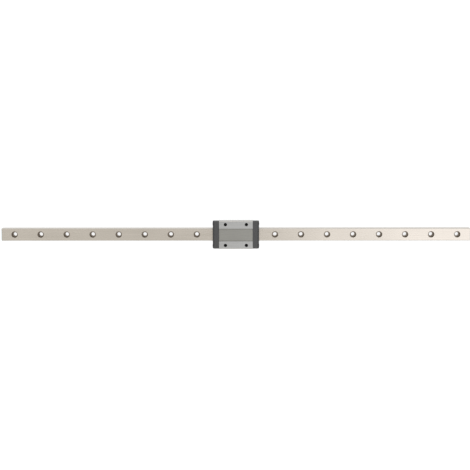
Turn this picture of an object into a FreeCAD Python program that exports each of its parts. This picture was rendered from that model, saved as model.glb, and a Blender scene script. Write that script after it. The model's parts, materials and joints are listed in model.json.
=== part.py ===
# Miniature linear guide: a ground steel rail with a long ball carriage.
#
# Frame: +X along the rail, +Z up, origin on the rail's underside at its middle.
# The carriage is at mid-rail. Every piece of it is drawn once, for the +X end or
# the +Y side, and the opposite piece is the same solid turned half round about Z.
# All lengths are millimetres.

import FreeCAD
import Part
import Sketcher
import math
import os

# Driving dimensions, each written once.
SIZES = {
    # rail
    "rail_length": 450.0,
    "rail_width": 12.0,
    "rail_height": 8.0,
    "rail_edge": 0.5,
    "rail_end_edge": 0.4,
    "hole_pitch": 25.0,
    "bolt_hole": 3.5,
    "bolt_head_hole": 6.0,
    "bolt_head_depth": 4.5,
    # balls, their raceways and the wires that keep them in the carriage
    "ball_diameter": 2.381,
    "ball_height": 5.2,
    "ball_gap": 0.04,
    "race_offset": 0.06,
    "race_play": 0.05,
    "return_distance": 3.45,
    "return_play": 0.16,
    "wire_diameter": 0.5,
    "wire_play": 0.1,
    "wire_bend": 0.5,
    "wire_reach": 4.0,
    "wire_tail": 2.2,
    "slot_width": 0.8,
    # carriage block
    "block_length": 32.4,
    "block_width": 27.0,
    "block_top": 13.0,
    "block_bottom": 3.0,
    "block_edge": 0.5,
    "block_foot": 0.8,
    "channel_side_gap": 0.5,
    "channel_top_gap": 0.6,
    "channel_corner": 0.6,
    "channel_mouth": 0.4,
    "recess_width": 12.0,
    "recess_depth": 0.4,
    "relief_width": 0.5,
    "relief_depth": 0.3,
    "tap_spacing_x": 20.0,
    "tap_spacing_y": 20.0,
    "tap_drill": 2.5,
    "tap_depth": 3.5,
    # end caps
    "cap_thickness": 5.0,
    "cap_inset": 0.15,
    "cap_drop": 0.5,
    "cap_lift": 0.1,
    "cap_shoulder": 1.6,
    "cap_foot": 1.2,
    "cap_corner": 0.3,
    "cap_clearance": 0.3,
    "oil_hole": 2.0,
    "oil_height": 10.5,
    "oil_depth": 3.0,
    # end seals
    "seal_thickness": 0.9,
    "seal_inset": 0.15,
    "seal_clearance": 0.12,
    "lip_width": 1.2,
    "lip_height": 0.1,
    "land_depth": 0.5,
    "land_gap": 0.2,
    # end cap screws
    "screw_thread": 2.0,
    "screw_play": 0.05,
    "screw_hole": 2.2,
    "screw_inset": 2.9,
    "screw_height": 9.0,
    "screw_length": 8.0,
    "screw_tap_depth": 3.4,
    "head_diameter": 3.6,
    "head_height": 0.8,
    "cross_width": 0.45,
    "cross_length": 2.0,
    "cross_depth": 0.4,
}

# Places and sizes that follow from the driving dimensions.
PLACES = {
    # rail
    "rail_half": "rail_width / 2",
    "rail_flat": "rail_width / 2 - rail_edge",
    "rail_shoulder": "rail_height - rail_edge",
    "rail_end": "rail_length / 2",
    "hole_count": "floor(rail_length / hole_pitch)",
    "first_hole": "(hole_count - 1) * hole_pitch / 2",
    "bolt_radius": "bolt_hole / 2",
    # balls: the loaded row lies midway between the rail's side and the block's leg
    "ball_radius": "ball_diameter / 2",
    "ball_y": "rail_half + channel_side_gap / 2",
    "return_y": "ball_y + return_distance",
    "turn_radius": "return_distance / 2",
    "turn_y": "ball_y + turn_radius",
    "return_radius": "ball_radius + return_play",
    # the turn from one row to the other: a channel as wide and high as the return bore
    "turn_near": "return_y - return_radius",
    "turn_far": "return_y + return_radius",
    "turn_low": "ball_height - return_radius",
    "turn_high": "ball_height + return_radius",
    # gothic arch flanks: two arcs whose centres lie beyond the ball's centre
    "race_radius": "ball_radius + race_offset + race_play",
    "race_shift": "race_offset / sqrt(2)",
    "rail_arc_y": "ball_y + race_shift",
    "block_arc_y": "ball_y - race_shift",
    "rail_groove_half": "sqrt(race_radius ^ 2 - (rail_arc_y - rail_half) ^ 2) - race_shift",
    "groove_low": "ball_height - rail_groove_half",
    "groove_high": "ball_height + rail_groove_half",
    # slot along the bottom of the rail's groove, where the retaining wire runs
    "slot_half": "slot_width / 2",
    "slot_low": "ball_height - slot_half",
    "slot_high": "ball_height + slot_half",
    "slot_mouth": "rail_arc_y - sqrt(race_radius ^ 2 - (slot_half + race_shift) ^ 2)",
    "wire_radius": "wire_diameter / 2",
    "wire_y": "ball_y - ball_radius - wire_play - wire_radius",
    "slot_floor": "wire_y - wire_radius - wire_play",
    # carriage block
    "block_end": "block_length / 2",
    "block_half": "block_width / 2",
    "block_flat": "block_half - block_edge",
    "block_shoulder": "block_top - block_edge",
    "foot_y": "block_half - block_foot",
    "foot_z": "block_bottom + block_foot",
    "channel_half": "rail_half + channel_side_gap",
    "channel_top": "rail_height + channel_top_gap",
    "channel_corner_y": "channel_half - channel_corner",
    "channel_corner_z": "channel_top - channel_corner",
    "channel_mouth_y": "channel_half + channel_mouth",
    "channel_mouth_z": "block_bottom + channel_mouth",
    "block_groove_half": "sqrt(race_radius ^ 2 - (channel_half - block_arc_y) ^ 2) - race_shift",
    "race_low": "ball_height - block_groove_half",
    "race_high": "ball_height + block_groove_half",
    "race_apex": "block_arc_y + sqrt(race_radius ^ 2 - race_shift ^ 2)",
    "recess_half": "recess_width / 2",
    "recess_floor": "block_top - recess_depth",
    "relief_side": "recess_half - relief_width",
    "relief_floor": "recess_floor - relief_depth",
    "tap_x": "tap_spacing_x / 2",
    "tap_y": "tap_spacing_y / 2",
    "tap_radius": "tap_drill / 2",
    # end caps
    "cap_end": "block_end + cap_thickness",
    "cap_half": "block_half - cap_inset",
    "cap_top": "block_top - cap_drop",
    "cap_bottom": "block_bottom + cap_lift",
    "cap_shoulder_y": "cap_half - cap_shoulder",
    "cap_shoulder_z": "cap_top - cap_shoulder",
    "cap_foot_y": "cap_half - cap_foot",
    "cap_foot_z": "cap_bottom + cap_foot",
    "cap_gate_half": "rail_half + cap_clearance",
    "cap_gate_top": "rail_height + cap_clearance",
    "cap_gate_flat": "cap_gate_half - rail_edge",
    "cap_gate_shoulder": "cap_gate_top - rail_edge",
    "oil_radius": "oil_hole / 2",
    # tongue of the cap in the rail's groove, which lifts the balls out of it
    "cap_arc": "race_radius - cap_clearance",
    "cap_tongue_tip": "ball_y - ball_radius + cap_clearance",
    "cap_root_half": "sqrt(cap_arc ^ 2 - (rail_arc_y - cap_gate_half) ^ 2) - race_shift",
    "cap_tip_half": "sqrt(cap_arc ^ 2 - (rail_arc_y - cap_tongue_tip) ^ 2) - race_shift",
    "cap_root_low": "ball_height - cap_root_half",
    "cap_root_high": "ball_height + cap_root_half",
    "cap_tip_low": "ball_height - cap_tip_half",
    "cap_tip_high": "ball_height + cap_tip_half",
    "wire_end": "block_end + wire_reach",
    "wire_bend_x": "wire_end - wire_bend",
    "wire_bend_y": "wire_y + wire_bend",
    "wire_tail_y": "wire_y + wire_bend + wire_tail",
    # square hole in the cap for the bent tail of the wire
    "tail_hole_half": "wire_radius + 2 * wire_play",
    "tail_hole_near": "wire_end - tail_hole_half",
    "tail_hole_far": "wire_end + tail_hole_half",
    "tail_hole_low": "ball_height - tail_hole_half",
    "tail_hole_high": "ball_height + tail_hole_half",
    "tail_hole_depth": "wire_tail_y + wire_play",
    # end seals
    "seal_end": "cap_end + seal_thickness",
    "seal_half": "cap_half - seal_inset",
    "seal_top": "cap_top - seal_inset",
    "seal_shoulder_y": "cap_shoulder_y - seal_inset / 2",
    "seal_shoulder_z": "cap_shoulder_z - seal_inset / 2",
    "seal_foot_y": "cap_foot_y - seal_inset",
    "seal_gate_half": "rail_half + seal_clearance",
    "seal_gate_top": "rail_height + seal_clearance",
    "seal_gate_flat": "seal_gate_half - rail_edge",
    "seal_gate_shoulder": "seal_gate_top - rail_edge",
    "seal_arc": "race_radius - seal_clearance",
    "seal_tongue_tip": "ball_y - ball_radius + seal_clearance",
    "seal_root_half": "sqrt(seal_arc ^ 2 - (rail_arc_y - seal_gate_half) ^ 2) - race_shift",
    "seal_tip_half": "sqrt(seal_arc ^ 2 - (rail_arc_y - seal_tongue_tip) ^ 2) - race_shift",
    "seal_root_low": "ball_height - seal_root_half",
    "seal_root_high": "ball_height + seal_root_half",
    "seal_tip_low": "ball_height - seal_tip_half",
    "seal_tip_high": "ball_height + seal_tip_half",
    "lip_half": "seal_gate_half + lip_width",
    "lip_top": "seal_gate_top + lip_width",
    "lip_flat": "lip_half - lip_width",
    "lip_shoulder": "lip_top - lip_width",
    # end cap screws
    "screw_y": "block_half - screw_inset",
    "screw_tap_radius": "screw_thread / 2",
    "screw_hole_radius": "screw_hole / 2",
    "shank_radius": "screw_thread / 2 - screw_play",
    "head_radius": "head_diameter / 2",
    "cross_half_width": "cross_width / 2",
    "cross_half_length": "cross_length / 2",
    # land cut into the seal's face for each screw head, open towards the side
    "head_seat": "seal_end - land_depth",
    "land_inner": "screw_y - head_radius - land_gap",
    "land_low": "screw_height - head_radius - land_gap",
    "land_high": "screw_height + head_radius + land_gap",
}

# The smallest round pieces are faceted: sides round each, and bands from pole to pole of a ball.
BALL_SIDES = 6
BALL_BANDS = 3
WIRE_SIDES = 8
SHANK_SIDES = 8
HEAD_SIDES = 16

doc = FreeCAD.newDocument("miniature_linear_guide")


def fill_sheet(name, cells):
    """Make a spreadsheet with one aliased cell for each named value."""
    sheet = doc.addObject("Spreadsheet::Sheet", name)
    for row, (alias, text) in enumerate(cells.items(), start=1):
        sheet.set(f"A{row}", alias)
        sheet.set(f"B{row}", text)
        sheet.setAlias(f"B{row}", alias)
    doc.recompute()
    return sheet


def linked(text):
    """Rewrite a formula so that each name points at the sheet that holds it."""
    words = text.replace("(", "( ").replace(")", " )").split()
    return " ".join(reference(word) if word in SIZES or word in PLACES else word for word in words)


def reference(name):
    """The expression that reads one value, with an optional minus sign in front."""
    sign = "-" if name.startswith("-") else ""
    plain = name.lstrip("-")
    return f"{sign}Sizes.{plain}" if plain in SIZES else f"{sign}Places.{plain}"


def number(name):
    """The present number of one value, with an optional minus sign in front."""
    plain = name.lstrip("-")
    value = float((sizes if plain in SIZES else places).get(plain))
    return -value if name.startswith("-") else value


sizes = fill_sheet("Sizes", {name: str(value) for name, value in SIZES.items()})
places = fill_sheet("Places", {name: "=" + linked(text) for name, text in PLACES.items()})


# Drawing helpers.


def new_body(label, turned=False):
    """An empty body, in place or turned half round about Z."""
    body = doc.addObject("PartDesign::Body", label)
    body.Label = label
    turn = FreeCAD.Rotation(FreeCAD.Vector(0, 0, 1), 180 if turned else 0)
    body.Placement = FreeCAD.Placement(FreeCAD.Vector(0, 0, 0), turn)
    return body


def origin_feature(body, role):
    """One of the body's own planes or axes."""
    return next(f for f in body.Origin.OriginFeatures if f.Role == role)


def new_sketch(body, name, role, offset=None):
    """A sketch on one of the body's planes, moved along its normal by a named value."""
    sketch = body.newObject("Sketcher::SketchObject", name)
    sketch.AttachmentSupport = (origin_feature(body, role), [""])
    sketch.MapMode = "FlatFace"
    if offset:
        sketch.setExpression("AttachmentOffset.Base.z", reference(offset))
    doc.recompute()
    return sketch


def dimension(sketch, kind, refs, value):
    """One driving dimension of a sketch, bound to its named value."""
    index = sketch.addConstraint(Sketcher.Constraint(kind, *refs, number(value)))
    sketch.setExpression(f"Constraints[{index}]", reference(value))


def hold(sketch, side, end, across, up):
    """Fix a point of the sketch by its two distances from the sketch's origin."""
    for kind, axis, value in (("DistanceX", -2, across), ("DistanceY", -1, up)):
        if value == "0":
            sketch.addConstraint(Sketcher.Constraint("PointOnObject", side, end, axis))
        else:
            dimension(sketch, kind, (-1, 1, side, end), value)


def spot(across, up):
    """A point of a sketch from two named values, either of which may be 0."""
    return FreeCAD.Vector(*(0.0 if value == "0" else number(value) for value in (across, up)), 0)


def clockwise_arc(start, end, radius):
    """The shorter arc that runs clockwise from start to end."""
    chord = end - start
    rise = math.sqrt(radius**2 - (chord.Length / 2) ** 2)
    right = FreeCAD.Vector(chord.y, -chord.x, 0).normalize()
    centre = (start + end) / 2 + right * rise
    circle = Part.Circle(centre, FreeCAD.Vector(0, 0, 1), radius)
    first = math.atan2(end.y - centre.y, end.x - centre.x)
    last = math.atan2(start.y - centre.y, start.x - centre.x)
    return Part.ArcOfCircle(circle, first, last)


def chain(sketch, corners, arcs, closed):
    """Draw sides through the corners. arcs gives the radius of each side that is a clockwise arc."""
    points = [spot(*corner) for corner in corners]
    sides = []
    for i in range(len(points) if closed else len(points) - 1):
        start, end = points[i], points[(i + 1) % len(points)]
        if i in arcs:
            side = sketch.addGeometry(clockwise_arc(start, end, number(arcs[i])))
            sides.append((side, 2, 1))
        else:
            side = sketch.addGeometry(Part.LineSegment(start, end))
            sides.append((side, 1, 2))
    for i in range(len(sides) if closed else len(sides) - 1):
        side, _, end = sides[i]
        follower, start, _ = sides[(i + 1) % len(sides)]
        sketch.addConstraint(Sketcher.Constraint("Coincident", side, end, follower, start))
    for (side, start, _), corner in zip(sides, corners):
        hold(sketch, side, start, *corner)
    if not closed:
        hold(sketch, sides[-1][0], sides[-1][2], *corners[-1])
    for i, radius in arcs.items():
        dimension(sketch, "Radius", (sides[i][0],), radius)


def mirrored_outline(sketch, half, arcs):
    """A closed outline that is the same on both sides of the sketch's vertical axis."""
    other_half = [("-" + across, up) for across, up in reversed(half)]
    other_arcs = {2 * len(half) - 2 - i: radius for i, radius in arcs.items()}
    chain(sketch, half + other_half, {**arcs, **other_arcs}, closed=True)


def circle(sketch, across, up, radius):
    """A round hole or bar in a sketch."""
    normal = FreeCAD.Vector(0, 0, 1)
    side = sketch.addGeometry(Part.Circle(spot(across, up), normal, number(radius)))
    hold(sketch, side, 3, across, up)
    dimension(sketch, "Radius", (side,), radius)


def polygon(sketch, across, up, radius, count):
    """A regular polygon in a sketch, with its corners on a circle and the first one level with its centre."""
    centre, reach = spot(across, up), number(radius)
    angles = [2 * math.pi * i / count for i in range(count)]
    corners = [centre + FreeCAD.Vector(math.cos(a), math.sin(a), 0) * reach for a in angles]
    guide = sketch.addGeometry(Part.Circle(centre, FreeCAD.Vector(0, 0, 1), reach), True)
    hold(sketch, guide, 3, across, up)
    dimension(sketch, "Radius", (guide,), radius)
    sides = [sketch.addGeometry(Part.LineSegment(corners[i - 1], corners[i])) for i in range(count)]
    for side, follower in zip(sides, sides[1:] + sides[:1]):
        sketch.addConstraint(Sketcher.Constraint("Coincident", side, 2, follower, 1))
        sketch.addConstraint(Sketcher.Constraint("PointOnObject", side, 2, guide))
    for side in sides[1:]:
        sketch.addConstraint(Sketcher.Constraint("Equal", sides[0], side))
    sketch.addConstraint(Sketcher.Constraint("Horizontal", sides[0], 2, guide, 3))


def pad(body, name, sketch, length, both_ways=False, backward=False):
    """Extrude a sketch along its normal, or both ways from it, or against its normal if backward."""
    feature = body.newObject("PartDesign::Pad", name)
    feature.Profile = sketch
    feature.SideType = "Symmetric" if both_ways else "One side"
    feature.Reversed = backward
    feature.setExpression("Length", reference(length))
    doc.recompute()
    return feature


def pocket(body, name, sketch, length=None, forward=False):
    """Cut a sketch into the body against its normal, or along it if forward, or right through."""
    feature = body.newObject("PartDesign::Pocket", name)
    feature.Profile = sketch
    feature.Reversed = forward
    if length:
        feature.setExpression("Length", reference(length))
    else:
        feature.Type = "ThroughAll"
        feature.SideType = "Symmetric"
    doc.recompute()
    return feature


def drill(body, name, sketch, diameter, depth=None):
    """Drill a hole at each circle of a sketch: right through, or to a depth with a flat end."""
    feature = body.newObject("PartDesign::Hole", name)
    feature.Profile = sketch
    doc.recompute()
    feature.ThreadType = "None"
    feature.setExpression("Diameter", reference(diameter))
    if depth:
        feature.DepthType = "Dimension"
        feature.setExpression("Depth", reference(depth))
        feature.DrillPoint = "Flat"
    else:
        feature.DepthType = "ThroughAll"
    doc.recompute()
    return feature


def mirror(body, name, feature, role):
    """Repeat a feature on the other side of one of the body's planes."""
    copy = body.newObject("PartDesign::Mirrored", name)
    copy.Originals = [feature]
    copy.MirrorPlane = (origin_feature(body, role), [""])
    body.Tip = copy
    doc.recompute()
    return copy


def edges_where(feature, test):
    """Names of the feature's edges whose two ends both pass the test."""
    found = []
    for i, edge in enumerate(feature.Shape.Edges, start=1):
        if len(edge.Vertexes) == 2 and all(test(vertex.Point) for vertex in edge.Vertexes):
            found.append(f"Edge{i}")
    return found


def close_to(a, b):
    """True if two coordinates agree."""
    return abs(a - b) < 1e-4


# Rail.


def make_rail():
    """The ground bar: its section along X, the row of counterbored holes and eased end edges."""
    body = new_body("guide_rail")
    section = new_sketch(body, "RailSection", "YZ_Plane")
    half = [
        ("rail_flat", "0"),
        ("rail_half", "rail_edge"),
        ("rail_half", "groove_low"),
        ("slot_mouth", "slot_low"),
        ("slot_floor", "slot_low"),
        ("slot_floor", "slot_high"),
        ("slot_mouth", "slot_high"),
        ("rail_half", "groove_high"),
        ("rail_half", "rail_shoulder"),
        ("rail_flat", "rail_height"),
    ]
    mirrored_outline(section, half, {2: "race_radius", 6: "race_radius"})
    bar = pad(body, "RailBar", section, "rail_length", both_ways=True)

    ends = edges_where(
        bar,
        lambda p: close_to(abs(p.x), number("rail_end")) and close_to(p.z, number("rail_height")),
    )
    eased = body.newObject("PartDesign::Chamfer", "RailEndEdges")
    eased.Base = (bar, ends)
    eased.setExpression("Size", reference("rail_end_edge"))
    doc.recompute()

    place = new_sketch(body, "BoltHolePlace", "XY_Plane", "rail_height")
    circle(place, "-first_hole", "0", "bolt_radius")
    hole = drill(body, "BoltHole", place, "bolt_hole")
    hole.HoleCutType = "Counterbore"
    hole.HoleCutCustomValues = True
    hole.setExpression("HoleCutDiameter", reference("bolt_head_hole"))
    hole.setExpression("HoleCutDepth", reference("bolt_head_depth"))
    doc.recompute()

    row = body.newObject("PartDesign::LinearPattern", "BoltHoleRow")
    row.Originals = [hole]
    row.Direction = (origin_feature(body, "X_Axis"), [""])
    row.setExpression("Length", "2 * " + reference("first_hole"))
    row.setExpression("Occurrences", reference("hole_count"))
    body.Tip = row
    doc.recompute()
    return body


# Carriage block.


def make_block():
    """The steel saddle: raceways, return bores, relieved top recess, tapped holes on top and in the ends."""
    body = new_body("carriage_block")
    section = new_sketch(body, "BlockSection", "YZ_Plane")
    half = [
        ("channel_corner_y", "channel_top"),
        ("channel_half", "channel_corner_z"),
        ("channel_half", "race_high"),
        ("race_apex", "ball_height"),
        ("channel_half", "race_low"),
        ("channel_half", "channel_mouth_z"),
        ("channel_mouth_y", "block_bottom"),
        ("foot_y", "block_bottom"),
        ("block_half", "foot_z"),
        ("block_half", "block_shoulder"),
        ("block_flat", "block_top"),
        ("recess_half", "block_top"),
        ("recess_half", "relief_floor"),
        ("relief_side", "relief_floor"),
        ("relief_side", "recess_floor"),
    ]
    mirrored_outline(section, half, {2: "race_radius", 3: "race_radius"})
    for side in ("", "-"):
        circle(section, side + "return_y", "ball_height", "return_radius")
    pad(body, "BlockBar", section, "block_length", both_ways=True)

    taps = new_sketch(body, "TapPlaces", "XY_Plane", "block_top")
    for end in ("", "-"):
        for side in ("", "-"):
            circle(taps, end + "tap_x", side + "tap_y", "tap_radius")
    drill(body, "TappedHoles", taps, "tap_drill", "tap_depth")

    screws = new_sketch(body, "ScrewPlaces", "YZ_Plane", "block_end")
    for side in ("", "-"):
        circle(screws, side + "screw_y", "screw_height", "screw_tap_radius")
    end_holes = drill(body, "ScrewHoles", screws, "screw_thread", "screw_tap_depth")
    mirror(body, "ScrewHolesOtherEnd", end_holes, "YZ_Plane")
    return body


# End caps, seals and their screws.


def gate(kind):
    """Half outline of the opening that the rail passes through, from its roof down to its foot."""
    return [
        (kind + "_gate_flat", kind + "_gate_top"),
        (kind + "_gate_half", kind + "_gate_shoulder"),
        (kind + "_gate_half", kind + "_root_high"),
        (kind + "_tongue_tip", kind + "_tip_high"),
        (kind + "_tongue_tip", kind + "_tip_low"),
        (kind + "_gate_half", kind + "_root_low"),
        (kind + "_gate_half", "cap_bottom"),
    ]


def make_end_cap(label, turned):
    """The moulded cap that turns the balls round and holds the retaining wires."""
    body = new_body(label, turned)
    section = new_sketch(body, "CapSection", "YZ_Plane", "block_end")
    half = gate("cap") + [
        ("cap_foot_y", "cap_bottom"),
        ("cap_half", "cap_foot_z"),
        ("cap_half", "cap_shoulder_z"),
        ("cap_shoulder_y", "cap_top"),
    ]
    mirrored_outline(section, half, {})
    moulding = pad(body, "CapMoulding", section, "cap_thickness")

    corners = edges_where(
        moulding,
        lambda p: close_to(p.x, number("cap_end")) and abs(p.y) > number("cap_shoulder_y") - 1e-4
        and p.z > number("cap_foot_z") - 1e-4,
    )
    eased = body.newObject("PartDesign::Chamfer", "CapCorners")
    eased.Base = (moulding, corners)
    eased.setExpression("Size", reference("cap_corner"))
    doc.recompute()

    turn = new_sketch(body, "BallTurn", "YZ_Plane", "block_end")
    walls = [
        ("turn_near", "turn_low"),
        ("turn_far", "turn_low"),
        ("turn_far", "turn_high"),
        ("turn_near", "turn_high"),
    ]
    chain(turn, walls, {}, closed=True)
    axis = turn.addGeometry(Part.LineSegment(spot("turn_y", "0"), spot("turn_y", "ball_height")), True)
    hold(turn, axis, 1, "turn_y", "0")
    hold(turn, axis, 2, "turn_y", "ball_height")
    channel = body.newObject("PartDesign::Groove", "BallChannel")
    channel.Profile = turn
    channel.ReferenceAxis = (turn, ["Axis0"])
    channel.Angle = 360
    doc.recompute()
    mirror(body, "BallChannelOtherSide", channel, "XZ_Plane")

    screws = new_sketch(body, "ScrewPlaces", "YZ_Plane", "cap_end")
    for side in ("", "-"):
        circle(screws, side + "screw_y", "screw_height", "screw_hole_radius")
    pocket(body, "ScrewHoles", screws)

    oil = new_sketch(body, "OilPlace", "YZ_Plane", "cap_end")
    circle(oil, "0", "oil_height", "oil_radius")
    drill(body, "OilHole", oil, "oil_hole", "oil_depth")

    tails = new_sketch(body, "WireTailPlace", "XZ_Plane")
    walls = [
        ("tail_hole_near", "tail_hole_low"),
        ("tail_hole_far", "tail_hole_low"),
        ("tail_hole_far", "tail_hole_high"),
        ("tail_hole_near", "tail_hole_high"),
    ]
    chain(tails, walls, {}, closed=True)
    tail_hole = pocket(body, "WireTailHole", tails, "tail_hole_depth", forward=True)
    mirror(body, "WireTailHoleOtherSide", tail_hole, "XZ_Plane")
    return body


def make_end_seal(label, turned):
    """The wiper plate outside the cap, with a raised lip round the rail and lands for the screw heads."""
    body = new_body(label, turned)
    section = new_sketch(body, "SealSection", "YZ_Plane", "cap_end")
    half = gate("seal") + [
        ("seal_foot_y", "cap_bottom"),
        ("seal_half", "cap_foot_z"),
        ("seal_half", "seal_shoulder_z"),
        ("seal_shoulder_y", "seal_top"),
    ]
    mirrored_outline(section, half, {})
    pad(body, "SealPlate", section, "seal_thickness")

    rim = new_sketch(body, "LipSection", "YZ_Plane", "seal_end")
    half = gate("seal") + [
        ("lip_half", "cap_bottom"),
        ("lip_half", "lip_shoulder"),
        ("lip_flat", "lip_top"),
    ]
    mirrored_outline(rim, half, {})
    pad(body, "SealLip", rim, "lip_height")

    lands = new_sketch(body, "LandPlaces", "YZ_Plane", "seal_end")
    for side in ("", "-"):
        walls = [
            (side + "land_inner", "land_low"),
            (side + "cap_half", "land_low"),
            (side + "cap_half", "land_high"),
            (side + "land_inner", "land_high"),
        ]
        chain(lands, walls, {}, closed=True)
    pocket(body, "HeadLands", lands, "land_depth")

    holes = new_sketch(body, "ScrewPlaces", "YZ_Plane", "seal_end")
    for side in ("", "-"):
        circle(holes, side + "screw_y", "screw_height", "screw_hole_radius")
    circle(holes, "0", "oil_height", "oil_radius")
    pocket(body, "SealHoles", holes)
    return body


def make_screw(label, turned, side):
    """A small low-headed cross-recessed screw, drawn along +X from the seat under its head."""
    body = new_body(label, turned)
    body.setExpression("Placement.Base.x", ("-" if turned else "") + reference("head_seat"))
    body.setExpression("Placement.Base.y", side + reference("screw_y"))
    body.setExpression("Placement.Base.z", reference("screw_height"))

    rim = new_sketch(body, "HeadSection", "YZ_Plane")
    polygon(rim, "0", "0", "head_radius", HEAD_SIDES)
    pad(body, "ScrewHead", rim, "head_height")
    stem = new_sketch(body, "ShankSection", "YZ_Plane")
    polygon(stem, "0", "0", "shank_radius", SHANK_SIDES)
    pad(body, "ScrewShank", stem, "screw_length", backward=True)

    cross = new_sketch(body, "CrossRecess", "YZ_Plane", "head_height")
    arm = "cross_half_length"
    web = "cross_half_width"
    quarter = [(web, web), (web, arm), ("-" + web, arm), ("-" + web, web)]
    plus = quarter + [("-" + arm, web), ("-" + arm, "-" + web), ("-" + web, "-" + web)]
    plus += [("-" + web, "-" + arm), (web, "-" + arm), (web, "-" + web), (arm, "-" + web), (arm, web)]
    chain(cross, plus, {}, closed=True)
    pocket(body, "CrossPocket", cross, "cross_depth")
    return body


# Balls and the wires that hold them.


def make_wire(label, turned):
    """A wire along the rail's slot, bent outwards at both ends into the caps."""
    body = new_body(label, turned)
    path = new_sketch(body, "WirePath", "XY_Plane", "ball_height")
    corners = [
        ("wire_end", "wire_tail_y"),
        ("wire_end", "wire_bend_y"),
        ("wire_bend_x", "wire_y"),
        ("-wire_bend_x", "wire_y"),
        ("-wire_end", "wire_bend_y"),
        ("-wire_end", "wire_tail_y"),
    ]
    chain(path, corners, {}, closed=False)
    ring = new_sketch(body, "WireSection", "XZ_Plane", "-wire_tail_y")
    polygon(ring, "wire_end", "ball_height", "wire_radius", WIRE_SIDES)
    wire = body.newObject("PartDesign::AdditivePipe", "Wire")
    wire.Profile = ring
    wire.Spine = (path, [f"Edge{i}" for i in range(1, len(corners))])
    wire.Transition = "Right corner"
    doc.recompute()
    return body


def loop_point(distance):
    """A point at a distance along the closed path that the balls follow, loaded row first."""
    straight = number("block_length")
    radius = number("turn_radius")
    turn = math.pi * radius
    end, outer = number("block_end"), number("return_y")
    inner, middle = number("ball_y"), number("turn_y")
    if distance < straight:
        return end - distance, inner
    distance -= straight
    if distance < turn:
        angle = distance / radius
        return -end - radius * math.sin(angle), middle - radius * math.cos(angle)
    distance -= turn
    if distance < straight:
        return -end + distance, outer
    angle = (distance - straight) / radius
    return end + radius * math.sin(angle), middle + radius * math.cos(angle)


def faceted_ball(x, y, z, radius):
    """A ball with few sides: level rings of corners on the sphere, joined by flat faces."""
    rings = []
    for band in range(BALL_BANDS + 1):
        latitude = math.pi * ((band + 0.5) / (BALL_BANDS + 1) - 0.5)
        reach, level = radius * math.cos(latitude), radius * math.sin(latitude)
        turns = [2 * math.pi * side / BALL_SIDES for side in range(BALL_SIDES)]
        corners = [(x + reach * math.cos(a), y + reach * math.sin(a), z + level) for a in turns]
        rings.append([FreeCAD.Vector(*corner) for corner in corners])
    outlines = [rings[0], rings[-1]]
    for low, high in zip(rings, rings[1:]):
        for side in range(BALL_SIDES):
            after = (side + 1) % BALL_SIDES
            outlines.append([low[side], low[after], high[after], high[side]])
    faces = [Part.Face(Part.makePolygon(outline + outline[:1])) for outline in outlines]
    return Part.Solid(Part.Shell(faces))


def make_ball_circuit(label, turned):
    """As many balls as the closed path holds, evenly spaced and clear of each other."""
    straight, radius = number("block_length"), number("turn_radius")
    loop = 2 * straight + 2 * math.pi * radius
    chord = number("ball_diameter") + number("ball_gap")
    closest = 2 * radius * math.asin(chord / (2 * radius))
    count = math.floor(loop / closest)
    balls = []
    for i in range(count):
        x, y = loop_point((i + 0.5) * loop / count)
        balls.append(faceted_ball(x, y, number("ball_height"), number("ball_radius")))
    feature = doc.addObject("Part::Feature", label)
    feature.Label = label
    feature.Shape = Part.makeCompound(balls)
    turn = FreeCAD.Rotation(FreeCAD.Vector(0, 0, 1), 180 if turned else 0)
    feature.Placement = FreeCAD.Placement(FreeCAD.Vector(0, 0, 0), turn)
    return feature


# The whole guide.

pieces = [make_rail(), make_block()]
for end, turned in (("right", False), ("left", True)):
    pieces.append(make_end_cap(f"end_cap_{end}", turned))
    pieces.append(make_end_seal(f"end_seal_{end}", turned))
    for row, side in (("back", ""), ("front", "-")):
        pieces.append(make_screw(f"cap_screw_{end}_{row}", turned, side))
for row, turned in (("back", False), ("front", True)):
    pieces.append(make_wire(f"retaining_wire_{row}", turned))
    pieces.append(make_ball_circuit(f"ball_circuit_{row}", turned))
doc.recompute()

for item in doc.Objects:
    if "Invalid" in item.State or "Error" in item.State:
        raise RuntimeError(f"{item.Label} failed: {item.State}")
for piece in pieces:
    if piece.Shape.isNull() or not piece.Shape.isValid() or not piece.Shape.Solids:
        raise RuntimeError(f"{piece.Label} has no valid solid")

os.makedirs("parts", exist_ok=True)
for piece in pieces:
    piece.Shape.exportStep(f"parts/{piece.Label}.step")
    print(f"{piece.Label}: {len(piece.Shape.Solids)} solid(s), {piece.Shape.Volume:.1f} mm3")
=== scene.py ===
# Looks of a miniature linear guide: a ground steel rail with its ball carriage.
#
# Metres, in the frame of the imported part: +X along the rail, +Z up.
# Each visible piece is rebuilt here with round holes, threads and eased edges,
# at the size and place of the solid that it stands for.

import json
import math

import bmesh
import bpy
from mathutils import Matrix, Vector


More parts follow.
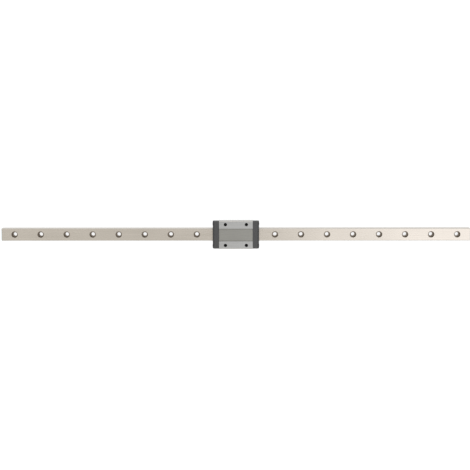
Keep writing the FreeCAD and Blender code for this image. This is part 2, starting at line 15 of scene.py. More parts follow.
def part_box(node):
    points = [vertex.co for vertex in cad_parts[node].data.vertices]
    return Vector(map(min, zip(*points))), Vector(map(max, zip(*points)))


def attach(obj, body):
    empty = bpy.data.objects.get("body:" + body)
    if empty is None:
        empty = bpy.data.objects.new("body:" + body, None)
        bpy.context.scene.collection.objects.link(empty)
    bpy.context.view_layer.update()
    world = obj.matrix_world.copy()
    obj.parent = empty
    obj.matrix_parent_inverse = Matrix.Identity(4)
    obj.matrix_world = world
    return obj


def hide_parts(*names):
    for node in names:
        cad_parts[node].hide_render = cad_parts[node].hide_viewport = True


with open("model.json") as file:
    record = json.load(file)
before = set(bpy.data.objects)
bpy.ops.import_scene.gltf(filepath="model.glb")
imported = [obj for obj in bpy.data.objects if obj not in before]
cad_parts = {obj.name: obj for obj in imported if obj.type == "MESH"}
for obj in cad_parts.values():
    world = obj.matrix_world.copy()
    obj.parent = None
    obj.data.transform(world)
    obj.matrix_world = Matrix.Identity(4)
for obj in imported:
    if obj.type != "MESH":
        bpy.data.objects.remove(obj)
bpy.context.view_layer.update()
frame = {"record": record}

MM = 0.001

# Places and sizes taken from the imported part.
rail_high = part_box("guide_rail")[1]
block_low, block_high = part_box("carriage_block")
cap_low, cap_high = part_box("end_cap_right")
seal_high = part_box("end_seal_right")[1]
screw_low, screw_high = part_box("cap_screw_right_back")
wire_low, wire_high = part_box("retaining_wire_back")
mounts = {mount["name"]: mount["dims"] for mount in frame["record"]["mounts"]}

rail_end, rail_half, rail_top = rail_high
block_end, block_half, block_top = block_high
block_bottom = block_low.z
cap_end, cap_half, cap_top = cap_high
cap_bottom = cap_low.z
seal_inset = cap_half - seal_high.y

row_length = mounts["rail_bolts_outermost"]["spacing_x_mm"] * MM
hole_pitch = (row_length - mounts["rail_bolts_second"]["spacing_x_mm"] * MM) / 2
hole_count = round(row_length / hole_pitch) + 1
first_hole = -row_length / 2
bolt_radius = mounts["rail_bolts_outermost"]["hole_r_mm"] * MM
tap_x = mounts["carriage_bolts"]["spacing_x_mm"] * MM / 2
tap_y = mounts["carriage_bolts"]["spacing_y_mm"] * MM / 2
tap_minor = mounts["carriage_bolts"]["hole_r_mm"] * MM

screw_y = (screw_low.y + screw_high.y) / 2
screw_z = (screw_low.z + screw_high.z) / 2
head_radius = (screw_high.z - screw_low.z) / 2
wire_radius = (wire_high.z - wire_low.z) / 2
wire_y = wire_low.y + wire_radius
ball_z = (wire_high.z + wire_low.z) / 2

# Rail: eased edges, ball grooves with a slot at the bottom, counterbored holes.
RAIL_EDGE = 0.5 * MM
RAIL_END_EDGE = 0.3 * MM
STEEL_ROUNDING = 0.15 * MM
BALL_RADIUS = 1.1905 * MM
GROOVE_RADIUS = 1.3005 * MM
GROOVE_SHIFT = 0.0424 * MM
BALL_ROW = rail_half + 0.25 * MM
SLOT_HALF = 0.4 * MM
SLOT_FLOOR = 4.36 * MM
BORE_RADIUS = 3.0 * MM
BORE_DEPTH = 4.5 * MM
BORE_EDGE = 0.12 * MM
BORE_FLARE = 0.5 * MM  # how far a hole's cutter widens past its mouths

# Carriage block: channel for the rail, raceways, return bores, recess and threads.
BLOCK_EDGE = 0.5 * MM
BLOCK_END_EDGE = 0.2 * MM
BLOCK_FOOT = 0.8 * MM
CHANNEL_HALF = rail_half + 0.5 * MM
CHANNEL_TOP = rail_top + 0.6 * MM
CHANNEL_CORNER = 0.6 * MM
CHANNEL_MOUTH = 0.4 * MM
RETURN_ROW = BALL_ROW + 3.45 * MM
RETURN_RADIUS = 1.35 * MM
LOOP_MIDDLE = (BALL_ROW + RETURN_ROW) / 2
LOOP_RADIUS = (RETURN_ROW - BALL_ROW) / 2
RECESS_HALF = 6.0 * MM
RECESS_DEPTH = 0.4 * MM
RECESS_ROUNDING = 0.1 * MM
RELIEF_WIDTH = 0.5 * MM
RELIEF_DEPTH = 0.3 * MM
RELIEF_ROUNDING = 0.05 * MM
TAP_MAJOR = 1.5 * MM
TAP_MOUTH = 1.6 * MM
TAP_PITCH = 0.5 * MM
TAP_DEPTH = 3.5 * MM
TAP_RISE = 0.03 * MM  # the thread's cutter starts just over the pad
SCREW_TAP_RADIUS = 1.0 * MM
SCREW_TAP_DEPTH = 3.4 * MM

# End caps and seals.
CAP_GAP = 0.3 * MM
CAP_SHOULDER = 1.6 * MM
CAP_FOOT = 1.2 * MM
CAP_INNER_EDGE = 0.1 * MM
CAP_OUTER_EDGE = 0.3 * MM
SHOULDER_ROUNDING = 0.5 * MM
FOOT_ROUNDING = 0.3 * MM
GATE_ROUNDING = 0.1 * MM
SEAL_GAP = 0.12 * MM
SEAL_PLATE = 0.9 * MM
SEAL_EDGE = 0.12 * MM
SEAL_END = cap_end + SEAL_PLATE
LIP_WIDTH = 1.2 * MM
LIP_ROOT = 0.3 * MM
LIP_EDGE = 0.06 * MM
LIP_ROUNDING = 0.3 * MM
LIP_FOOT_ROUNDING = 0.1 * MM
LAND_DEPTH = 0.5 * MM
LAND_GAP = 0.2 * MM
LAND_ROUNDING = 0.5 * MM
OIL_RADIUS = 1.0 * MM
OIL_HEIGHT = 10.5 * MM
OIL_DEPTH = 3.0 * MM
SCREW_HOLE = 1.1 * MM

# Screws, wires and balls.
HEAD_SEAT = SEAL_END - LAND_DEPTH
HEAD_RIM = 0.1 * MM
HEAD_CROWN = 0.3 * MM
SHANK_RADIUS = 0.95 * MM
AXIS_RADIUS = 0.0005 * MM  # stands for zero on a turned solid's axis
CROSS_ARM = 1.0 * MM
CROSS_WEB = 0.22 * MM
CROSS_DEPTH = 0.4 * MM
CROSS_RISE = 0.3 * MM
CROSS_ARM_TAPER = 0.55
CROSS_WEB_TAPER = 0.75
CROSS_TURN = math.radians(20)
WIRE_BEND = 0.5 * MM
BALL_COUNT = 28

# Making of the meshes: sides of round forms, cutters and limits.
ROUND = 64  # sides of a visible round hole or head
BORE_ROUND = 32  # sides of a plain drilled hole
CUT_PAST = 1.0 * MM  # how far a cutter reaches past a face
SEAL_CUT = 2.0 * MM  # how far a drill reaches to each side of a seal's back
WELD = 1e-7  # points closer than this become one
LEAST_ROUNDING = 0.005 * MM
MITRE_LIMIT = 0.5  # keeps an inset corner near its place where the outline is very sharp
SHARP_ANGLE = math.radians(40)
NEAR = 0.02 * MM  # slack when the place of a face is compared with a size
BEVEL_MARGIN = 0.05 * MM  # the same for the rounded faces beside a chamfer
BEVEL_SLOPE = 0.3  # least tilt of a chamfer's faces, as a part of their unit normal

STAY = Matrix.Identity(4)  # leaves a piece at the right end or the back
TURN = Matrix.Rotation(math.pi, 4, "Z")  # carries it to the other end or side
SIDES = (1, -1)
SQUARE = ((-1, -1), (1, -1), (1, 1), (-1, 1))


# Outlines in the YZ plane, as lists of (y, z) or of corners (y, z, rounding).


def arc(centre, radius, start, end, steps):
    """Points along an arc, with angles in degrees from the first axis towards the second."""
    angles = [math.radians(start + (end - start) * i / steps) for i in range(steps + 1)]
    return [(centre[0] + radius * math.cos(a), centre[1] + radius * math.sin(a)) for a in angles]


def rounded(corners, steps=4):
    """The points of a closed outline, with each corner that has a rounding replaced by a small arc."""
    points = []
    for i, (y, z, radius) in enumerate(corners):
        here = Vector((y, z))
        if radius == 0:
            points.append((y, z))
            continue
        back = (Vector(corners[i - 1][:2]) - here).normalized()
        ahead = (Vector(corners[(i + 1) % len(corners)][:2]) - here).normalized()
        half_angle = back.angle(ahead) / 2
        reach = radius / math.tan(half_angle)
        centre = here + (back + ahead).normalized() * (radius / math.sin(half_angle))
        first = here + back * reach - centre
        last = here + ahead * reach - centre
        turn = first.angle_signed(last)
        for step in range(steps + 1):
            angle = -turn * step / steps
            spoke = Vector((first.x * math.cos(angle) - first.y * math.sin(angle),
                            first.x * math.sin(angle) + first.y * math.cos(angle)))
            points.append(tuple(centre + spoke))
    return points


def sharp(points):
    """The points of a curve as corners without rounding."""
    return [(y, z, 0) for y, z in points]


def mirrored(half):
    """A closed outline from its +Y half, listed from one end of the Z axis to the other."""
    return half + [(-y, z, radius) for y, z, radius in reversed(half)]


def inset(corners, depth):
    """The corners of an outline moved inwards by a small depth, with their roundings kept parallel."""
    moved = []
    for i, (y, z, radius) in enumerate(corners):
        here = Vector((y, z))
        before = (here - Vector(corners[i - 1][:2])).normalized()
        after = (Vector(corners[(i + 1) % len(corners)][:2]) - here).normalized()
        normal = Vector((-before.y - after.y, before.x + after.x))
        normal *= 2 / max(normal.length_squared, MITRE_LIMIT)
        if radius:
            convex = before.x * after.y > before.y * after.x
            radius = max(radius - depth, LEAST_ROUNDING) if convex else radius + depth
        moved.append((*(here + normal * depth), radius))
    return moved


# Solids.


def mesh_object(name, verts, faces):
    """A mesh object with outward faces."""
    mesh = bpy.data.meshes.new(name)
    mesh.from_pydata(verts, [], faces)
    solid = bmesh.new()
    solid.from_mesh(mesh)
    bmesh.ops.remove_doubles(solid, verts=solid.verts, dist=WELD)
    bmesh.ops.recalc_face_normals(solid, faces=solid.faces)
    solid.to_mesh(mesh)
    solid.free()
    obj = bpy.data.objects.new(name, mesh)
    bpy.context.scene.collection.objects.link(obj)
    return obj


def stitched(name, rings):
    """A solid skinned over rings of equally many points, closed at both ends."""
    count = len(rings[0])
    verts = [point for ring in rings for point in ring]
    faces = [list(range(count))[::-1], list(range(len(verts) - count, len(verts)))]
    for r in range(len(rings) - 1):
        for i in range(count):
            j = (i + 1) % count
            faces.append([r * count + i, r * count + j, (r + 1) * count + j, (r + 1) * count + i])
    return mesh_object(name, verts, faces)


def prism(name, corners, x_start, x_end, edges=(0.0, 0.0)):
    """A bar of one outline along X, with its end edges eased by the two given sizes."""
    low, high = edges
    stations = [(x_start, inset(corners, low))] if low else []
    stations += [(x_start + low, corners), (x_end - high, corners)]
    stations += [(x_end, inset(corners, high))] if high else []
    return stitched(name, [[(x, y, z) for y, z in rounded(outline)] for x, outline in stations])


def circle(radius, z, sides):
    """Points round the Z axis."""
    angles = [2 * math.pi * i / sides for i in range(sides)]
    return [(radius * math.cos(a), radius * math.sin(a), z) for a in angles]


def lathe(name, profile, sides=ROUND):
    """A solid turned about Z from its (radius, z) profile, listed from one end to the other."""
    return stitched(name, [circle(radius, z, sides) for radius, z in profile])


def drill(name, radius, low, high):
    """A plain round cutter about Z."""
    return lathe(name, [(radius, low), (radius, high)], BORE_ROUND)


def thread_plug(name, minor, major, pitch, depth, sides=48, rows=8, steepness=1.3, flat=0.15):
    """A threaded plug from z = 0 down to -depth, used to cut a tapped hole."""
    count = round(depth / pitch * rows)
    rings = []
    for row in range(count + 1):
        z = -depth * row / count
        ring = []
        for i in range(sides):
            phase = (z / pitch + i / sides) % 1.0
            ridge = min(max(abs(2 * phase - 1) * steepness - flat, 0.0), 1.0)
            radius = minor + (major - minor) * ridge
            angle = 2 * math.pi * i / sides
            ring.append((radius * math.cos(angle), radius * math.sin(angle), z))
        rings.append(ring)
    return stitched(name, rings)


def at(obj, *steps):
    """Move a solid's mesh by the given matrices, in order."""
    for step in steps:
        obj.data.transform(step)
    return obj


def copies(obj, matrices):
    """The solid repeated at each matrix. The first solid is used up."""
    found = []
    for matrix in matrices:
        copy = bpy.data.objects.new(obj.name, obj.data.copy())
        copy.data.transform(matrix)
        bpy.context.scene.collection.objects.link(copy)
        found.append(copy)
    bpy.data.objects.remove(obj)
    return found


def joined(parts):
    """One object that holds the meshes of all the parts."""
    whole = bmesh.new()
    for part in parts:
        whole.from_mesh(part.data)
    whole.to_mesh(parts[0].data)
    whole.free()
    for part in parts[1:]:
        bpy.data.objects.remove(part)
    return parts[0]


def combine(target, tools, operation="DIFFERENCE"):
    """Cut the tools out of the target, or fuse them to it."""
    tool = joined(tools)
    step = target.modifiers.new(operation, "BOOLEAN")
    step.operation = operation
    step.solver = "EXACT"
    step.object = tool
    view = bpy.context.evaluated_depsgraph_get()
    result = bpy.data.meshes.new_from_object(target.evaluated_get(view))
    target.modifiers.clear()
    target.data = result
    bpy.data.objects.remove(tool)


# Places.


def along_x(x, y, z):
    """Stand a solid that was turned about Z along +X, at a place."""
    return Matrix.Translation((x, y, z)) @ Matrix.Rotation(math.pi / 2, 4, "Y")


def over_taps(z):
    """The four tapped holes of the block, at a height."""
    return [Matrix.Translation((x, y, z)) for x in (tap_x, -tap_x) for y in (tap_y, -tap_y)]


def on_screw_axes(x):
    """The two screw axes of the right end, at a distance along the rail."""
    return [along_x(x, side * screw_y, screw_z) for side in SIDES]


# Materials. Noise scales are per metre along X, Y and Z.


NOISE_RANGE = (0.3, 0.7)  # most values of a noise lie in here
STEEL_PATCHES = (18, 30, 30)
MOULD_PATCHES = (120, 120, 120)
MOULD_GRAIN = (2600, 2600, 2600)


class Nodes:
    """A node material under construction, around its principled shader."""

    def __init__(self, name):
        self.material = bpy.data.materials.new(name)
        self.material.use_nodes = True
        self.tree = self.material.node_tree
        self.shader = self.tree.nodes["Principled BSDF"]
        self.place = self.tree.nodes.new("ShaderNodeTexCoord").outputs["Object"]

    def link(self, source, target):
        """Join two sockets."""
        self.tree.links.new(source, target)

    def noise(self, scale, detail, roughness=0.55):
        """Noise with its own scale along each axis."""
        mapping = self.tree.nodes.new("ShaderNodeMapping")
        mapping.inputs["Scale"].default_value = scale
        texture = self.tree.nodes.new("ShaderNodeTexNoise")
        texture.inputs["Scale"].default_value = 1.0
        texture.inputs["Detail"].default_value = detail
        texture.inputs["Roughness"].default_value = roughness
        self.link(self.place, mapping.inputs["Vector"])
        self.link(mapping.outputs["Vector"], texture.inputs["Vector"])
        return texture.outputs["Fac"]

    def spread(self, source, low, high):
        """Map the middle of a noise's range to low .. high."""
        node = self.tree.nodes.new("ShaderNodeMapRange")
        node.inputs["From Min"].default_value = NOISE_RANGE[0]
        node.inputs["From Max"].default_value = NOISE_RANGE[1]
        node.inputs["To Min"].default_value = low
        node.inputs["To Max"].default_value = high
        self.link(source, node.inputs["Value"])
        return node.outputs["Result"]

    def mean(self, first, second):
        """Halfway between two noises."""
        node = self.tree.nodes.new("ShaderNodeMix")
        node.inputs["Factor"].default_value = 0.5
        self.link(first, node.inputs["A"])
        self.link(second, node.inputs["B"])
        return node.outputs["Result"]

    def colour(self, source, base, contrast):
        """The base colour, darker and lighter by the contrast as the source goes from 0 to 1."""
        node = self.tree.nodes.new("ShaderNodeMix")
        node.data_type = "RGBA"
        for socket, factor in (("A", 1 - contrast), ("B", 1 + contrast)):
            node.inputs[socket].default_value = (*(channel * factor for channel in base), 1.0)
        self.link(source, node.inputs["Factor"])
        self.link(node.outputs["Result"], self.shader.inputs["Base Color"])

    def roughness(self, source, middle, swing):
        """Roughness that follows a noise."""
        self.link(self.spread(source, middle - swing, middle + swing), self.shader.inputs["Roughness"])

    def bump(self, source, height):
        """Relief of a given height, in metres."""
        node = self.tree.nodes.new("ShaderNodeBump")
        node.inputs["Strength"].default_value = 1.0
        node.inputs["Distance"].default_value = height
        self.link(source, node.inputs["Height"])
        self.link(node.outputs["Normal"], self.shader.inputs["Normal"])


def metal(name, colour, roughness, grain, contrast, relief):
    """Machined steel: grain is the noise scale along X, Y and Z that its tool marks have."""
    nodes = Nodes(name)
    nodes.shader.inputs["Metallic"].default_value = 1.0
    marks = nodes.noise(grain, detail=4.0)
    patches = nodes.noise(STEEL_PATCHES, detail=2.0)
    nodes.colour(nodes.spread(nodes.mean(marks, patches), 0.0, 1.0), colour, contrast)
    nodes.roughness(marks, roughness, swing=0.05)
    nodes.bump(marks, relief)
    return nodes.material


def moulded(name, colour, roughness, relief, gloss):
    """Plastic or rubber with a fine grain."""
    nodes = Nodes(name)
    nodes.shader.inputs["Specular IOR Level"].default_value = gloss
    grain = nodes.noise(MOULD_GRAIN, detail=2.0)
    patches = nodes.noise(MOULD_PATCHES, detail=3.0)
    nodes.colour(nodes.spread(patches, 0.0, 1.0), colour, contrast=0.12)
    nodes.roughness(grain, roughness, swing=0.06)
    nodes.bump(grain, relief)
    return nodes.material


ground_rail = metal("ground_rail_steel", colour=(0.438, 0.400, 0.346), roughness=0.28,
                    grain=(14, 1500, 1500), contrast=0.07, relief=0.0010 * MM)
# Top chamfers of rail and block: the rougher milled finish is real, but the colour is lighter than the
# faces beside them, a painted highlight along the edges.
milled_edge_painted_highlight = metal("milled_edge_steel_painted_highlight", colour=(0.56, 0.535, 0.50), roughness=0.42,
                    grain=(200, 900, 900), contrast=0.08, relief=0.0010 * MM)
raceway_steel = metal("raceway_steel", colour=(0.52, 0.49, 0.45), roughness=0.17,
                      grain=(10, 2400, 2400), contrast=0.05, relief=0.0004 * MM)
cut_steel = metal("cut_end_steel", colour=(0.38, 0.365, 0.34), roughness=0.46,
                  grain=(900, 90, 2600), contrast=0.16, relief=0.0030 * MM)
# Walls and shelf of the counterbored holes: drilled, rougher steel, in a darker brown colour that is
# painted shade of the deep holes.
bore_steel_painted_shade = metal("bore_steel_painted_shade", colour=(0.245, 0.207, 0.166), roughness=0.45,
                   grain=(300, 300, 4000), contrast=0.15, relief=0.0020 * MM)
ground_pad = metal("ground_pad_steel", colour=(0.329, 0.327, 0.315), roughness=0.34,
                   grain=(60, 1800, 1800), contrast=0.10, relief=0.0012 * MM)
milled_recess = metal("milled_recess_steel", colour=(0.233, 0.228, 0.206), roughness=0.40,
                      grain=(70, 2200, 2200), contrast=0.14, relief=0.0020 * MM)
# Threads and countersinks of the tapped holes: an almost black colour that is painted shade inside the
# small holes, not the colour of the steel.
tapped_hole_painted_shade = metal("tapped_hole_steel_painted_shade", colour=(0.018, 0.018, 0.0175), roughness=0.5,
                     grain=(900, 900, 900), contrast=0.2, relief=0.0020 * MM)
screw_steel = metal("screw_steel", colour=(0.17, 0.17, 0.174), roughness=0.4,
                    grain=(900, 900, 900), contrast=0.12, relief=0.0020 * MM)
bright_steel = metal("bearing_steel", colour=(0.6, 0.6, 0.6), roughness=0.12,
                     grain=(500, 500, 500), contrast=0.03, relief=0.0003 * MM)
cap_plastic = moulded("cap_plastic", colour=(0.024, 0.0235, 0.0225), roughness=0.30,
                      relief=0.002 * MM, gloss=0.75)
seal_rubber = moulded("seal_rubber", colour=(0.03, 0.03, 0.031), roughness=0.55,
                      relief=0.003 * MM, gloss=0.5)


# Pieces.


def finish_piece(obj, node, finish, body, materials, pick=None):
    """Name a piece, shade it and set it in the frame. pick gives the material of a face by its place."""
    obj.name = obj.data.name = f"{node}_{finish}"
    obj.data.materials.clear()
    for material in materials:
        obj.data.materials.append(material)
    for face in obj.data.polygons:
        face.material_index = materials.index(pick(face.center, face.normal)) if pick else 0
    obj.data.shade_smooth()
    obj.data.set_sharp_from_angle(angle=SHARP_ANGLE)
    even = obj.modifiers.new("even_shading", "WEIGHTED_NORMAL")
    even.keep_sharp = True
    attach(obj, body)
    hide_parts(node)


def on_top_edge(centre, normal, half, top, edge):
    """True for a face of the chamfer along the upper edge of the rail or the block; these faces get the
    painted highlight.
    """
    reach = edge + BEVEL_MARGIN
    beside = abs(centre.y) > half - reach and centre.z > top - reach
    return beside and min(abs(normal.y), normal.z) > BEVEL_SLOPE


def groove_flank(side, upper, start, end, steps=8):
    """One flank of a ball groove: side is 1 in the rail and -1 in the block."""
    lift = -1 if upper else 1
    centre = (BALL_ROW + side * GROOVE_SHIFT, ball_z + lift * GROOVE_SHIFT)
    return sharp(arc(centre, GROOVE_RADIUS, start, end, steps))


def make_rail():
    """The ground bar with its grooves and its row of counterbored holes."""
    arc_y = BALL_ROW + GROOVE_SHIFT
    brim_angle = math.degrees(math.acos((arc_y - rail_half) / GROOVE_RADIUS))
    slot_angle = math.degrees(math.asin((SLOT_HALF + GROOVE_SHIFT) / GROOVE_RADIUS))
    half = [
        (rail_half - RAIL_EDGE, 0.0, STEEL_ROUNDING),
        (rail_half, RAIL_EDGE, STEEL_ROUNDING),
        *groove_flank(1, False, 180 + brim_angle, 180 + slot_angle),
        (SLOT_FLOOR, ball_z - SLOT_HALF, 0),
        (SLOT_FLOOR, ball_z + SLOT_HALF, 0),
        *groove_flank(1, True, 180 - slot_angle, 180 - brim_angle),
        (rail_half, rail_top - RAIL_EDGE, STEEL_ROUNDING),
        (rail_half - RAIL_EDGE, rail_top, STEEL_ROUNDING),
    ]
    bar = prism("rail", mirrored(half), -rail_end, rail_end, (RAIL_END_EDGE, RAIL_END_EDGE))

    profile = [
        (bolt_radius + BORE_FLARE, -BORE_FLARE),
        (bolt_radius, BORE_EDGE),
        (bolt_radius, rail_top - BORE_DEPTH),
        (BORE_RADIUS, rail_top - BORE_DEPTH),
        (BORE_RADIUS, rail_top - BORE_EDGE),
        (BORE_RADIUS + BORE_FLARE, rail_top - BORE_EDGE + BORE_FLARE),
    ]
    spots = [Matrix.Translation((first_hole + hole_pitch * i, 0, 0)) for i in range(hole_count)]
    combine(bar, copies(lathe("bolt_hole", profile), spots))

    def pick(centre, normal):
        nearest = first_hole + hole_pitch * round((centre.x - first_hole) / hole_pitch)
        inside = math.hypot(centre.x - nearest, centre.y) < BORE_RADIUS + NEAR
        # inside a counterbore: painted shade
        if inside and BORE_EDGE - NEAR < centre.z < rail_top - NEAR:
            return bore_steel_painted_shade
        if abs(centre.x) > rail_end - RAIL_END_EDGE:
            return cut_steel
        if SLOT_FLOOR - NEAR < abs(centre.y) < rail_half and abs(centre.z - ball_z) < GROOVE_RADIUS:
            return raceway_steel
        # the top chamfers: painted highlight
        if on_top_edge(centre, normal, rail_half, rail_top, RAIL_EDGE):
            return milled_edge_painted_highlight
        return ground_rail

    finishes = [ground_rail, bore_steel_painted_shade, milled_edge_painted_highlight, raceway_steel, cut_steel]
    finish_piece(bar, "guide_rail", "ground", "rail", finishes, pick)


def make_block():
    """The steel saddle with its pads, recess, raceways and tapped holes."""
    arc_y = BALL_ROW - GROOVE_SHIFT
    brim_angle = math.degrees(math.acos((CHANNEL_HALF - arc_y) / GROOVE_RADIUS))
    apex_angle = math.degrees(math.asin(GROOVE_SHIFT / GROOVE_RADIUS))
    recess_floor = block_top - RECESS_DEPTH
    relief_floor = recess_floor - RELIEF_DEPTH
    half = [
        (CHANNEL_HALF - CHANNEL_CORNER, CHANNEL_TOP, STEEL_ROUNDING),
        (CHANNEL_HALF, CHANNEL_TOP - CHANNEL_CORNER, STEEL_ROUNDING),
        *groove_flank(-1, True, brim_angle, apex_angle),
        *groove_flank(-1, False, -apex_angle, -brim_angle),
        (CHANNEL_HALF, block_bottom + CHANNEL_MOUTH, 0),
        (CHANNEL_HALF + CHANNEL_MOUTH, block_bottom, STEEL_ROUNDING),
        (block_half - BLOCK_FOOT, block_bottom, STEEL_ROUNDING),
        (block_half, block_bottom + BLOCK_FOOT, STEEL_ROUNDING),
        (block_half, block_top - BLOCK_EDGE, STEEL_ROUNDING),
        (block_half - BLOCK_EDGE, block_top, STEEL_ROUNDING),
        (RECESS_HALF, block_top, RECESS_ROUNDING),
        (RECESS_HALF, relief_floor, RECESS_ROUNDING),
        (RECESS_HALF - RELIEF_WIDTH, relief_floor, RECESS_ROUNDING),
        (RECESS_HALF - RELIEF_WIDTH, recess_floor, RELIEF_ROUNDING),
    ]
    bar = prism("block", mirrored(half), -block_end, block_end, (BLOCK_END_EDGE, BLOCK_END_EDGE))

    bore = drill("return_bore", RETURN_RADIUS, -block_end - CUT_PAST, block_end + CUT_PAST)
    combine(bar, copies(bore, [along_x(0, side * RETURN_ROW, ball_z) for side in SIDES]))
    screw_tap = drill("screw_tap", SCREW_TAP_RADIUS, -SCREW_TAP_DEPTH, CUT_PAST)
    axes = [turn @ axis for turn in (STAY, TURN) for axis in on_screw_axes(block_end)]
    combine(bar, copies(screw_tap, axes))
    plug = thread_plug("tap", tap_minor, TAP_MAJOR, TAP_PITCH, TAP_DEPTH)
    combine(bar, copies(plug, over_taps(block_top + TAP_RISE)))
    cone = [(tap_minor, tap_minor - TAP_MOUTH), (TAP_MOUTH, 0), (TAP_MOUTH + CUT_PAST, CUT_PAST)]
    combine(bar, copies(lathe("countersink", cone), over_taps(block_top)))

    def pick(centre, normal):
        # the tapped holes and their countersinks: painted shade
        reach = math.hypot(abs(centre.x) - tap_x, abs(centre.y) - tap_y)
        if reach < TAP_MOUTH and CHANNEL_TOP < centre.z < block_top - NEAR:
            return tapped_hole_painted_shade
        sunk = relief_floor - BLOCK_END_EDGE < centre.z < block_top - RECESS_ROUNDING / 2
        if sunk and abs(centre.y) < RECESS_HALF + NEAR:
            return milled_recess
        # the top chamfers: painted highlight
        if on_top_edge(centre, normal, block_half, block_top, BLOCK_EDGE):
            return milled_edge_painted_highlight
        return ground_pad

    finishes = [ground_pad, milled_recess, tapped_hole_painted_shade, milled_edge_painted_highlight]
    finish_piece(bar, "carriage_block", "ground", "carriage", finishes, pick)


def gate(gap):
    """Half outline of the opening round the rail, with a tongue in the ball groove."""
    half = rail_half + gap
    top = rail_top + gap
    arc_y = BALL_ROW + GROOVE_SHIFT
    reach = GROOVE_RADIUS - gap
    tip = BALL_ROW - BALL_RADIUS + gap
    root_height = math.sqrt(reach**2 - (arc_y - half) ** 2) - GROOVE_SHIFT
    tip_height = math.sqrt(reach**2 - (arc_y - tip) ** 2) - GROOVE_SHIFT
    return [
        (half - RAIL_EDGE, top, GATE_ROUNDING),
        (half, top - RAIL_EDGE, GATE_ROUNDING),
        (half, ball_z + root_height, 0),
        (tip, ball_z + tip_height, 0),
        (tip, ball_z - tip_height, 0),
        (half, ball_z - root_height, 0),
        (half, cap_bottom, GATE_ROUNDING),
    ]


def ring_tool(side, sides=24, steps=48):
    """A ring that cuts the round turn from the loaded row of balls to the return row."""
    verts = []
    for step in range(steps):
        sweep = 2 * math.pi * step / steps
        for i in range(sides):
            angle = 2 * math.pi * i / sides
            reach = LOOP_RADIUS + RETURN_RADIUS * math.cos(angle)
            verts.append((block_end + reach * math.sin(sweep),
                          side * (LOOP_MIDDLE + reach * math.cos(sweep)),
                          ball_z + RETURN_RADIUS * math.sin(angle)))
    faces = []
    for step in range(steps):
        after = (step + 1) % steps
        for i in range(sides):
            j = (i + 1) % sides
            faces.append([step * sides + i, step * sides + j, after * sides + j, after * sides + i])
    return mesh_object("ball_turn", verts, faces)


def make_cap(end, turn):
    """A moulded end cap with its ball turns, screw holes and oil hole."""
    half = gate(CAP_GAP) + [
        (cap_half - CAP_FOOT, cap_bottom, FOOT_ROUNDING),
        (cap_half, cap_bottom + CAP_FOOT, FOOT_ROUNDING),
        (cap_half, cap_top - CAP_SHOULDER, SHOULDER_ROUNDING),
        (cap_half - CAP_SHOULDER, cap_top, SHOULDER_ROUNDING),
    ]
    cap = prism("cap", mirrored(half), block_end, cap_end, (CAP_INNER_EDGE, CAP_OUTER_EDGE))
    combine(cap, [ring_tool(side) for side in SIDES])
    hole = drill("screw_hole", SCREW_HOLE, -CUT_PAST, cap_end - block_end + CUT_PAST)
    combine(cap, copies(hole, on_screw_axes(block_end)))
    oil = drill("oil_hole", OIL_RADIUS, -OIL_DEPTH, CUT_PAST)
    combine(cap, [at(oil, along_x(cap_end, 0, OIL_HEIGHT))])
    at(cap, turn)
    finish_piece(cap, f"end_cap_{end}", "moulded", "carriage", [cap_plastic])


def land_tool(side):
    """A block that cuts the land of one screw head into a seal's face, open towards the side."""
    room = head_radius + LAND_GAP
    inner = side * (screw_y - room)
    outer = side * (cap_half + CUT_PAST)
    corners = [
        (inner, screw_z - room, LAND_ROUNDING),
        (outer, screw_z - room, 0),
        (outer, screw_z + room, 0),
        (inner, screw_z + room, LAND_ROUNDING),
    ]
    return prism("land", corners, HEAD_SEAT, SEAL_END + CUT_PAST)


def make_seal(end, turn):
    """A wiper plate with its raised lip, lands for the screw heads, screw holes and oil hole."""
    half = gate(SEAL_GAP) + [
        (cap_half - CAP_FOOT - seal_inset, cap_bottom, FOOT_ROUNDING),
        (cap_half - seal_inset, cap_bottom + CAP_FOOT, FOOT_ROUNDING),
        (cap_half - seal_inset, cap_top - CAP_SHOULDER - seal_inset / 2, SHOULDER_ROUNDING),
        (cap_half - CAP_SHOULDER - seal_inset / 2, cap_top - seal_inset, SHOULDER_ROUNDING),
    ]
    plate = prism("seal", mirrored(half), cap_end, SEAL_END, (0.0, SEAL_EDGE))
    lip_half = rail_half + SEAL_GAP
    lip_foot = rail_top + SEAL_GAP
    half = gate(SEAL_GAP) + [
        (lip_half + LIP_WIDTH, cap_bottom, LIP_FOOT_ROUNDING),
        (lip_half + LIP_WIDTH, lip_foot, LIP_ROUNDING),
        (lip_half, lip_foot + LIP_WIDTH, LIP_ROUNDING),
    ]
    lip = prism("lip", mirrored(half), SEAL_END - LIP_ROOT, seal_high.x, (0.0, LIP_EDGE))
    combine(plate, [lip], "UNION")
    combine(plate, [land_tool(side) for side in SIDES])
    hole = drill("screw_hole", SCREW_HOLE, -SEAL_CUT, SEAL_CUT)
    combine(plate, copies(hole, on_screw_axes(cap_end)))
    oil = drill("oil_hole", OIL_RADIUS, -SEAL_CUT, SEAL_CUT)
    combine(plate, [at(oil, along_x(cap_end, 0, OIL_HEIGHT))])
    at(plate, turn)
    finish_piece(plate, f"end_seal_{end}", "moulded", "carriage", [seal_rubber])


def cross_tool(height, angle):
    """A bar that cuts one arm of the cross recess into a screw head of a given height."""
    mouth = [(x * CROSS_ARM, y * CROSS_WEB) for x, y in SQUARE]
    foot = [(x * CROSS_ARM_TAPER, y * CROSS_WEB_TAPER) for x, y in mouth]
    rings = [
        [(x, y, height - CROSS_DEPTH) for x, y in foot],
        [(x, y, height + CROSS_RISE) for x, y in mouth],
    ]
    return at(stitched("cross", rings), Matrix.Rotation(angle + CROSS_TURN, 4, "Z"))


